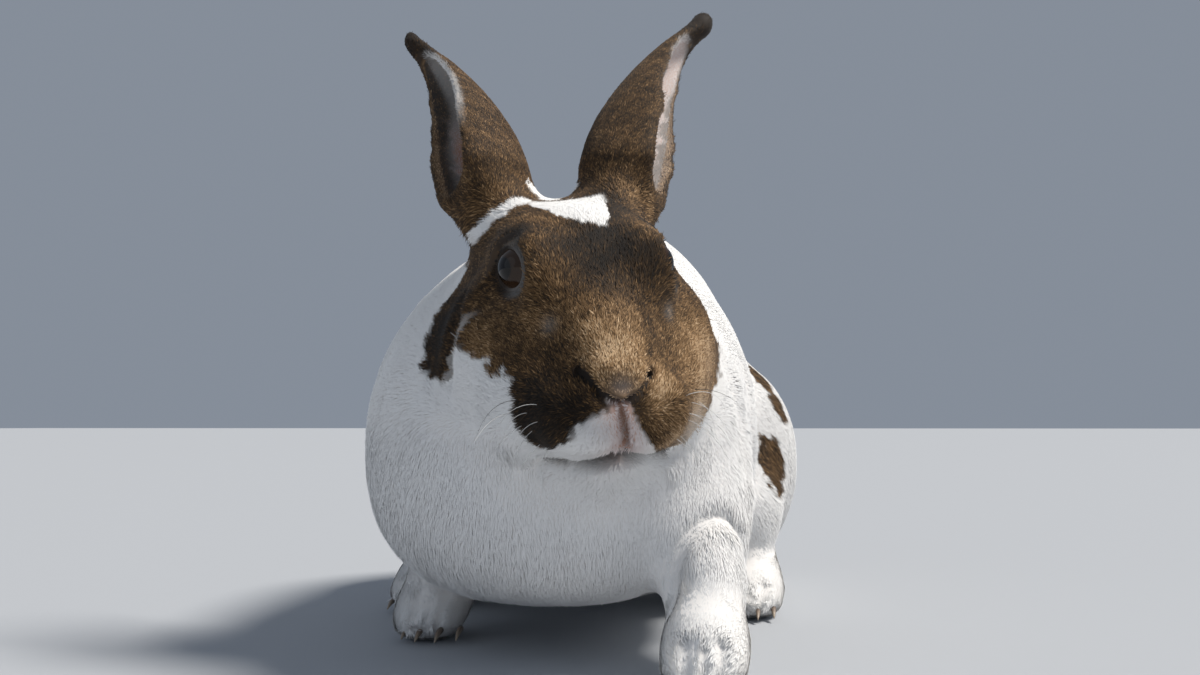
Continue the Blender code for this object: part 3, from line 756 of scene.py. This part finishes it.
def tufts(name, faces, seed):
    """One piece of the coat: a blade of two triangles for each root."""
    rng = np.random.default_rng(seed)
    face, shares = sow(hide, faces, seed)
    corners = hide.triangles[face]
    count = len(face)
    root = mix(hide.points, corners, shares)
    up = unit(mix(normals, corners, shares))
    depth, lift, width = mix(coat[:, :3], corners, shares).T
    lie = mix(coat[:, 4:7], corners, shares)
    lie = unit(lie - up * np.sum(lie * up, axis=1, keepdims=True))
    part = part_at[corners[:, 0]]
    flat = ~np.char.startswith(np.array(FLESH)[part], "ear") & (lift < 10)
    calm = np.where(flat, 0.16, 0.30)
    turn = rng.normal(0, 1, count) * calm + 0.15 * ripple(root, 0.03, 11)
    across = np.cross(up, lie)
    lie = lie * np.cos(turn)[:, None] + across * np.sin(turn)[:, None]
    stray = rng.normal(0, 1, count) * calm * 8
    lift = np.radians(np.clip(lift + stray + 1.5 * ripple(root, 0.016, 12), 4, 80))
    long = depth * MM / np.sin(lift) * rng.uniform(0.90, 1.05, count)
    bend = np.radians(rng.normal(1, 0.3, count) * np.where(flat, 3, 5.5))
    low = lie * np.cos(lift + bend)[:, None] + up * np.sin(lift + bend)[:, None]
    high = lie * np.cos(lift - bend)[:, None] + up * np.sin(lift - bend)[:, None]
    roll = rng.normal(0, 1, count) * np.where(flat, 0.05, 0.15)
    flat_side = unit(np.cross(lie, up))
    rise = np.cross(flat_side, low)
    flat_side = flat_side * np.cos(roll)[:, None] + rise * np.sin(roll)[:, None]
    half = (0.5 * width * MM * rng.uniform(0.75, 1.25, count))[:, None] * flat_side
    base = root - up * ROOT_DEPTH * MM
    middle = base + low * (long * WIDEST)[:, None]
    tip = middle + high * (long * (1 - WIDEST))[:, None]
    points = np.stack((base, middle - half, middle + half, tip), axis=1).reshape(-1, 3)
    points[:, 2] = np.maximum(points[:, 2], LEAST_HEIGHT * MM)
    first = np.arange(count)[:, None] * 4
    triangles = np.concatenate((first + (0, 2, 1), first + (1, 2, 3)), axis=1).reshape(-1, 3)
    mesh = bpy.data.meshes.new(name)
    mesh.vertices.add(len(points))
    mesh.vertices.foreach_set("co", points.astype(np.float32).ravel())
    mesh.loops.add(len(triangles) * 3)
    mesh.loops.foreach_set("vertex_index", triangles.astype(np.int32).ravel())
    mesh.polygons.add(len(triangles))
    mesh.polygons.foreach_set("loop_start", np.arange(len(triangles), dtype=np.int32) * 3)
    mesh.update(calc_edges=True)
    facing = unit(np.cross(middle - half - base, tip - base))
    facing = facing * np.sign(np.sum(facing * up, axis=1))[:, None]
    shading = unit(up * SKIN_SHADING + facing * BLADE_SHADING)
    mesh.normals_split_custom_set_from_vertices(np.repeat(shading, 4, axis=0).astype(np.float32))
    seen = base * (1 - SEEN_AT) + tip * SEEN_AT
    brown, gold, flush = marking(seen, part, mix(ear_place, corners, shares).T,
                                 mix(before_folds, corners, shares))
    tone = np.clip(0.5 + rng.normal(0, 0.17, count) + 0.16 * ripple(root, 0.0030, 13), 0, 1)
    for label, values in (("brown", brown), ("gold", gold), ("tone", tone), ("flush", flush)):
        write_values(mesh, label, np.repeat(values, 4))
    write_values(mesh, "along", np.tile((0.0, WIDEST, WIDEST, 1.0), count))
    where = np.einsum("nk,nkd->nd", shares, flat_skin[hide.loops[face]])
    patch = HALF_PATCH * np.array(((0, -1), (-1, 0), (1, 0), (0, 1)))
    spots = (where[:, None, :] + patch[None]).reshape(-1, 2)
    layer = mesh.uv_layers.new(name="OFBake")
    layer.uv.foreach_set("vector", spots[triangles.ravel()].astype(np.float32).ravel())
    return placed(name, mesh)


def new_finish(name, roughness):
    """A material with its nodes and its shader, for one kind of surface."""
    material = bpy.data.materials.new(name)
    material.use_nodes = True
    shader = material.node_tree.nodes["Principled BSDF"]
    shader.inputs["Roughness"].default_value = roughness
    return material, material.node_tree, shader


def value_of(tree, label):
    """What each point of the mesh carries under this label."""
    node = tree.nodes.new("ShaderNodeAttribute")
    node.attribute_name = label
    return node.outputs["Fac"]


def ramp(tree, share, stops):
    """The colours of these stops, each a place and its colour, at this share."""
    node = tree.nodes.new("ShaderNodeValToRGB")
    elements = node.color_ramp.elements
    elements.remove(elements[0])
    for number, (place, colour) in enumerate(stops):
        stop = elements[0] if number == 0 else elements.new(place)
        stop.position = place
        stop.color = (*colour, 1)
    tree.links.new(share, node.inputs["Fac"])
    return node.outputs["Color"]


def fill(tree, node, values):
    """Gives each numbered input of the node its value, or a link to where that comes from."""
    for number, value in values.items():
        if isinstance(value, bpy.types.NodeSocket):
            tree.links.new(value, node.inputs[number])
        else:
            node.inputs[number].default_value = value


def blend(tree, share, first, second, how="MIX"):
    node = tree.nodes.new("ShaderNodeMix")
    node.data_type = "RGBA"
    node.blend_type = how
    fill(tree, node, {0: share, 6: first, 7: second})
    return node.outputs[2]


def reckon(tree, first, how, second):
    node = tree.nodes.new("ShaderNodeMath")
    node.operation = how
    fill(tree, node, {0: first, 1: second})
    return node.outputs[0]


# From the darkest brown to the most golden, then how a brown and a white hair change along their length.
BROWNS = [(0.0, (0.013, 0.010, 0.008)), (0.30, (0.046, 0.027, 0.013)), (0.55, (0.150, 0.084, 0.035)),
          (0.80, (0.35, 0.215, 0.105)), (1.0, (0.60, 0.42, 0.25))]
BROWN_BANDS = [(0.0, (0.25, 0.25, 0.27)), (0.45, (0.55, 0.52, 0.50)), (0.62, (1, 1, 1)), (0.88, (1, 1, 1)),
               (1.0, (0.45, 0.42, 0.40))]
WHITE_BANDS = [(0.0, (0.80, 0.78, 0.76)), (0.5, (0.86, 0.85, 0.84)), (1.0, (0.88, 0.88, 0.87))]
SLATE_ROOT = (0.03, 0.022, 0.018, 1)
PINK_SKIN, PALE_SKIN, PINK_FUR = (0.56, 0.33, 0.25, 1), (0.84, 0.82, 0.80, 1), (0.54, 0.35, 0.32, 1)
TONE_SPREAD, PINK_SHOWING = 0.80, 0.55


def coat_material(name, roots=False):
    """White fur, and brown fur banded along each hair, or the skin under them with its stubs of hair."""
    material, tree, shader = new_finish(name, 0.75)
    flush = value_of(tree, "flush")
    spread = reckon(tree, reckon(tree, value_of(tree, "tone"), "SUBTRACT", 0.5), "MULTIPLY", TONE_SPREAD)
    brown = ramp(tree, reckon(tree, value_of(tree, "gold"), "ADD", spread), BROWNS)
    if roots:
        brown = blend(tree, 0.5, brown, SLATE_ROOT)
        white = blend(tree, flush, PALE_SKIN, PINK_SKIN)
    else:
        along = value_of(tree, "along")
        brown = blend(tree, 1.0, brown, ramp(tree, along, BROWN_BANDS), "MULTIPLY")
        white = ramp(tree, along, WHITE_BANDS)
        white = blend(tree, reckon(tree, flush, "MULTIPLY", PINK_SHOWING), white, PINK_FUR)
    tree.links.new(blend(tree, value_of(tree, "brown"), white, brown), shader.inputs["Base Color"])
    shader.inputs["Specular IOR Level"].default_value = 0.16
    shader.inputs["Sheen Weight"].default_value = 0.05
    shader.inputs["Sheen Roughness"].default_value = 0.5
    return material


fur = coat_material("fur")
skin_under_fur = coat_material("skin_under_fur", roots=True)
ear_place = np.stack((ear_inside, ear_rise, ear_fold), 1)
brown, gold, flush = marking(outside.points, part_at, ear_place.T, before_folds)
# Fur thins out in the slits of the nose and the cleft, on the lips, in the cups and at the lids.
slit_gap = np.minimum(*(line_gap(before_folds, lines[side]) for side in NOSTRILS))
thinning = ease(0.9, 2.3, slit_gap) * ease(0.1, 0.5, line_gap(before_folds, lines["cleft"]))
thinning *= 1 - 0.45 * np.where(names == "head", flush, 0)
bare = bare_cup(ear_rise, ear_fold)
thinning *= 1 - np.where(names == "ear_right", 0.8 * bare, 0.35) * ear_inside
for side in (1, -1):
    ray, _, _, out, reach = round_eye(on_head(outside.points), side)
    thinning *= np.where((out > 0) & (length(ray) < 16), ease(1.02, 1.12, reach), 1)
# The skin in the slits of the nose is made near black: the dark inside of the nostrils, with painted shade in
# their openings.
dark = fade(slit_gap, 1.5)
gold = gold * (1 - dark)
brown = np.maximum(brown, dark)
for label, values in (("brown", brown), ("gold", gold), ("tone", np.full(len(brown), 0.5)), ("flush", flush)):
    write_values(skin.data, label, values)
skin.data.materials.clear()
skin.data.materials.append(skin_under_fur)
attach(skin, "root")
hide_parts(*(name for name in FLESH if not name.startswith("eye")))

# The coat's pieces and the parts each covers. One with too many tufts is cut across into even shares.
PIECES = {
    "coat_head": ("head", "eye_left", "eye_right"),
    "coat_ear_left": ("ear_left",),
    "coat_ear_right": ("ear_right",),
    "coat_neck": ("neck", "dewlap"),
    "coat_body": ("trunk", "tail"),
    "coat_haunch_left": ("thigh_left", "hindfoot_left"),
    "coat_haunch_right": ("thigh_right", "hindfoot_right"),
    "coat_forelegs": ("foreleg_left", "foreleg_right", "forepaw_left", "forepaw_right"),
}
MOST_TUFTS = 98000
middles = hide.points[hide.triangles].mean(1)
face_part = part_at[hide.triangles[:, 0]]
for seed, (name, parts) in enumerate(PIECES.items()):
    faces = np.flatnonzero(np.isin(face_part, [FLESH.index(p) for p in parts]))
    wanted = hide.areas(faces) * coat[hide.triangles[faces], 3].mean(1)
    shares = math.ceil(wanted.sum() / MOST_TUFTS)
    order = np.argsort(middles[faces][:, 1], kind="stable")
    cuts = np.searchsorted(np.cumsum(wanted[order]), np.linspace(0, wanted.sum(), shares + 1)[1:-1])
    for number, some in enumerate(np.split(order, cuts)):
        title = name if shares == 1 else f"{name}_{number + 1}"
        piece = tufts(title, np.sort(faces[some]), 100 + 10 * seed + number)
        piece.data.materials.append(fur)
        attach(piece, "root")


# ---- Eyes ------------------------------------------------
# Each eye is a ball with the clear cornea bulging from it: nearly all dark brown iris round a black
# pupil, wet and glossy, seated in the lids of the skin.
CORNEA_RADIUS, CORNEA_OUT = 7.6, 2.3
# How far the ball is inside the fit of its lids.
BALL_PLAY = 0.15


def object_of(bm, name):
    bmesh.ops.recalc_face_normals(bm, faces=bm.faces)
    mesh = bpy.data.meshes.new(name)
    bm.to_mesh(mesh)
    bm.free()
    return placed(name, mesh)


def eyeball(name, side):
    middle, look, slit, tall = eye_axes(side)
    bm = bmesh.new()
    bmesh.ops.create_icosphere(bm, subdivisions=5, radius=1.0)
    layer = bm.verts.layers.float.new("ring")
    for vertex in bm.verts:
        x, y, z = vertex.co.normalized()
        cosine = max(-1.0, min(1.0, z))
        # Where a ray from the middle leaves the ball, or the cornea if that is farther out.
        inner = CORNEA_RADIUS ** 2 - CORNEA_OUT ** 2 * (1 - cosine ** 2)
        far = CORNEA_OUT * cosine + math.sqrt(inner) if inner > 0 and cosine > 0 else 0
        far = max(far, EYE_RADIUS - BALL_PLAY)
        vertex[layer] = math.degrees(math.acos(cosine))
        place = (np.array(slit) * x + np.array(tall) * y * side + np.array(look) * z) * far
        vertex.co = off_head(place + middle)
    for face in bm.faces:
        face.smooth = True
    return object_of(bm, name)


# Colours from the middle of the pupil out to the white, at shares of a quarter turn round the ball.
EYE_RINGS = [(0.0, (0.002, 0.002, 0.003)), (0.25, (0.003, 0.003, 0.003)), (0.30, (0.030, 0.016, 0.009)),
             (0.52, (0.045, 0.024, 0.013)), (0.60, (0.010, 0.007, 0.006)), (0.68, (0.10, 0.085, 0.075)),
             (1.0, (0.35, 0.30, 0.28))]
wet_eye, eye_tree, eye_shader = new_finish("wet_eye", 0.04)
rings = ramp(eye_tree, reckon(eye_tree, value_of(eye_tree, "ring"), "DIVIDE", 90), EYE_RINGS)
eye_tree.links.new(rings, eye_shader.inputs["Base Color"])
eye_shader.inputs["IOR"].default_value = 1.38
for side_name, side in (("left", 1), ("right", -1)):
    ball = eyeball("eyeball_" + side_name, side)
    ball.data.materials.append(wet_eye)
    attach(ball, "root")
    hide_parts("eye_" + side_name)


# ---- Claws -----------------------------------------------
# Four short horn claws to a foot, grey-brown at the root and pale at the tip, growing out of the ends
# of the toes and curving down towards the floor. All four of a foot are one piece.
CLAW_ROOT_BACK, CLAW_ROOT_UP, CLAW_RUN, CLAW_DROP = 12.0, 5.4, 9.0, 3.2
# Half the thickness from root to tip.
CLAW_THICK = [1.2, 1.2, 1.15, 1.05, 0.9, 0.7, 0.5, 0.2]
CLAW_SPREAD, CLAW_CURVE, CLAW_SIDES = 0.04, 1.8, 12


def tube(bm, path, radii, sides):
    """A round rod along these points, closed at both ends, with its share of the length on each point."""
    layer = bm.verts.layers.float.get("along") or bm.verts.layers.float.new("along")
    path = [Vector(p) for p in path]
    rings = []
    for k, (point, radius) in enumerate(zip(path, radii)):
        way = (path[min(k + 1, len(path) - 1)] - path[max(k - 1, 0)]).normalized()
        first = way.orthogonal().normalized() if k == 0 else (first - way * first.dot(way)).normalized()
        second = way.cross(first)
        ring = []
        for number in range(sides):
            turn = 2 * math.pi * number / sides
            vertex = bm.verts.new(point + (first * math.cos(turn) + second * math.sin(turn)) * radius)
            vertex[layer] = k / (len(path) - 1)
            ring.append(vertex)
        rings.append(ring)
    for low, high in zip(rings[:-1], rings[1:]):
        for number in range(sides):
            after = (number + 1) % sides
            bm.faces.new((low[number], low[after], high[after], high[number])).smooth = True
    bm.faces.new(rings[0][::-1])
    bm.faces.new(rings[-1])


def rod_material(name, stops, roughness, bump=0.0, bump_scale=1.0):
    """A finish whose colour runs along each rod, with fine streaks pressed into it when bump is given."""
    material, tree, shader = new_finish(name, roughness)
    tree.links.new(ramp(tree, value_of(tree, "along"), stops), shader.inputs["Base Color"])
    if bump:
        noise = tree.nodes.new("ShaderNodeTexNoise")
        noise.inputs["Scale"].default_value = bump_scale
        press = tree.nodes.new("ShaderNodeBump")
        press.inputs["Strength"].default_value = bump
        press.inputs["Distance"].default_value = 0.2 * MM
        tree.links.new(noise.outputs["Fac"], press.inputs["Height"])
        tree.links.new(press.outputs["Normal"], shader.inputs["Normal"])
    return material


HORN = [(0.0, (0.10, 0.075, 0.06)), (0.45, (0.20, 0.15, 0.115)), (1.0, (0.40, 0.32, 0.24))]
horn = rod_material("horn", HORN, roughness=0.38, bump=0.4, bump_scale=900)
for kind, toes in TOES.items():
    for side_name, side in (("left", 1), ("right", -1)):
        middle, ahead = foot_front(kind, side)
        bm = bmesh.new()
        for across, set_back in toes:
            path = []
            for k in range(len(CLAW_THICK)):
                share = k / (len(CLAW_THICK) - 1)
                path.append((middle + across * MM * (1 + CLAW_SPREAD * share),
                             ahead + (set_back + CLAW_ROOT_BACK - CLAW_RUN * share) * MM,
                             (CLAW_ROOT_UP - CLAW_DROP * share ** CLAW_CURVE) * MM))
            tube(bm, path, [r * MM for r in CLAW_THICK], CLAW_SIDES)
        claws = object_of(bm, f"claws_{kind}_{side_name}")
        claws.data.materials.append(horn)
        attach(claws, "root")


# ---- Whiskers --------------------------------------------
# Short and curly, as this kind of rabbit has them: fine tapering hairs from the pads of the upper lip,
# and two over each eye, drooping as they grow. Those over the eyes and one on each lip are dark, and
# the rest white, each colour one piece.
WHISKER_ROOTS = [(12, 22, -9), (15, 25, -13), (11, 19, -13), (13, 23, -17), (10, 17, -18), (16, 27, -18),
                 (12, 21, -21), (19, 29, -11), (20, 30, -16)]
BROW_ROOTS = [(56, 21, 26), (66, 21, 28)]
DARK_ROOT = 7
# Least and most length, and how fast a hair bends down; then its steps, sides and half its thickness.
LIP_HAIR = (15, 24), 0.13
BROW_HAIR = (7, 10), 0.05
HAIR_STEPS, HAIR_SIDES = 14, 5
HAIR_ROOT, HAIR_TAPER, HAIR_DEPTH = 0.12, 0.09, 0.8


def whisker(bm, root, way, long, droop, rng):
    """One hair from its root: it sets out along way and bends down."""
    heading = Vector(way).normalized()
    place = Vector(root) - heading * HAIR_DEPTH * MM
    path = [place.copy()]
    curl = Vector(rng.normal(0, 0.05, 3))
    for _ in range(HAIR_STEPS):
        heading = (heading + Vector((0, 0, -droop)) + curl).normalized()
        place = place + heading * (long / HAIR_STEPS)
        path.append(place.copy())
    radii = [(HAIR_ROOT - HAIR_TAPER * k / HAIR_STEPS) * MM for k in range(HAIR_STEPS + 1)]
    tube(bm, path, radii, HAIR_SIDES)


white_hair = rod_material("white_whisker", [(0.0, (0.62, 0.60, 0.57)), (1.0, (0.80, 0.79, 0.77))], 0.35)
dark_hair = rod_material("dark_whisker", [(0.0, (0.02, 0.016, 0.013)), (1.0, (0.05, 0.04, 0.03))], 0.35)
hide_surface = BVHTree.FromPolygons([tuple(p) for p in hide.points], hide.triangles.tolist())
rng = np.random.default_rng(41)
for shade, material in (("white", white_hair), ("dark", dark_hair)):
    bm = bmesh.new()
    for side in (1, -1):
        for number, (back, out, up) in enumerate(WHISKER_ROOTS + BROW_ROOTS):
            brow = number >= len(WHISKER_ROOTS)
            if (shade == "dark") != (brow or number == DARK_ROOT):
                continue
            spot, normal = hide_surface.find_nearest(Vector(off_head((back, out * side, up))))[:2]
            way = normal + 0.35 * Vector(BACK) + Vector(rng.normal(0, 0.12, 3))
            (least, most), droop = BROW_HAIR if brow else LIP_HAIR
            whisker(bm, spot, way, rng.uniform(least, most) * MM, droop, rng)
    hairs = object_of(bm, "whiskers_" + shade)
    hairs.data.materials.append(material)
    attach(hairs, "root")


# ---- Floor, light and camera -----------------------------
# She stands on a plain pale floor under soft studio light, seen from low down and close in front.
# One broad warm lamp stands high on her left, and a weak cool one fills the other side.
bpy.ops.mesh.primitive_plane_add(size=40, location=(0, 10, 0))
floor = bpy.context.object
floor.name = "floor"
pale_floor, _, floor_shader = new_finish("pale_floor", 0.9)
floor_shader.inputs["Base Color"].default_value = (0.40, 0.42, 0.45, 1)
floor.data.materials.append(pale_floor)
studio = bpy.data.worlds.new("studio")
studio.use_nodes = True
studio.node_tree.nodes["Background"].inputs["Color"].default_value = (0.74, 0.84, 1.0, 1)
studio.node_tree.nodes["Background"].inputs["Strength"].default_value = 0.32
bpy.context.scene.world = studio
bpy.context.scene.view_settings.view_transform = "Standard"


def lamp(name, way, softness, strength, colour):
    """A far, broad light from this side: its softness is how many degrees across it looks."""
    light = bpy.data.lights.new(name, "SUN")
    light.angle = math.radians(softness)
    light.energy = strength
    light.color = colour
    placed(name, light).rotation_euler = (-Vector(way)).to_track_quat("-Z", "Y").to_euler()


lamp("key", (0.80, 0.14, 1.25), softness=16, strength=4.2, colour=(1.0, 0.95, 0.88))
lamp("fill", (-1.0, -1.0, 0.5), softness=60, strength=0.22, colour=(0.84, 0.92, 1.0))

camera = placed("camera", bpy.data.cameras.new("camera"))
camera.data.sensor_width = 36
camera.data.lens = 36
camera.data.clip_start = 0.01
camera.location = (0.0894, -0.5515, 0.085)
bearing = math.radians(8.5)
pitch = math.radians(4.17)
heading = Vector((-math.sin(bearing) * math.cos(pitch), math.cos(bearing) * math.cos(pitch), math.sin(pitch)))
camera.rotation_euler = heading.to_track_quat("-Z", "Y").to_euler()
bpy.context.scene.camera = camera
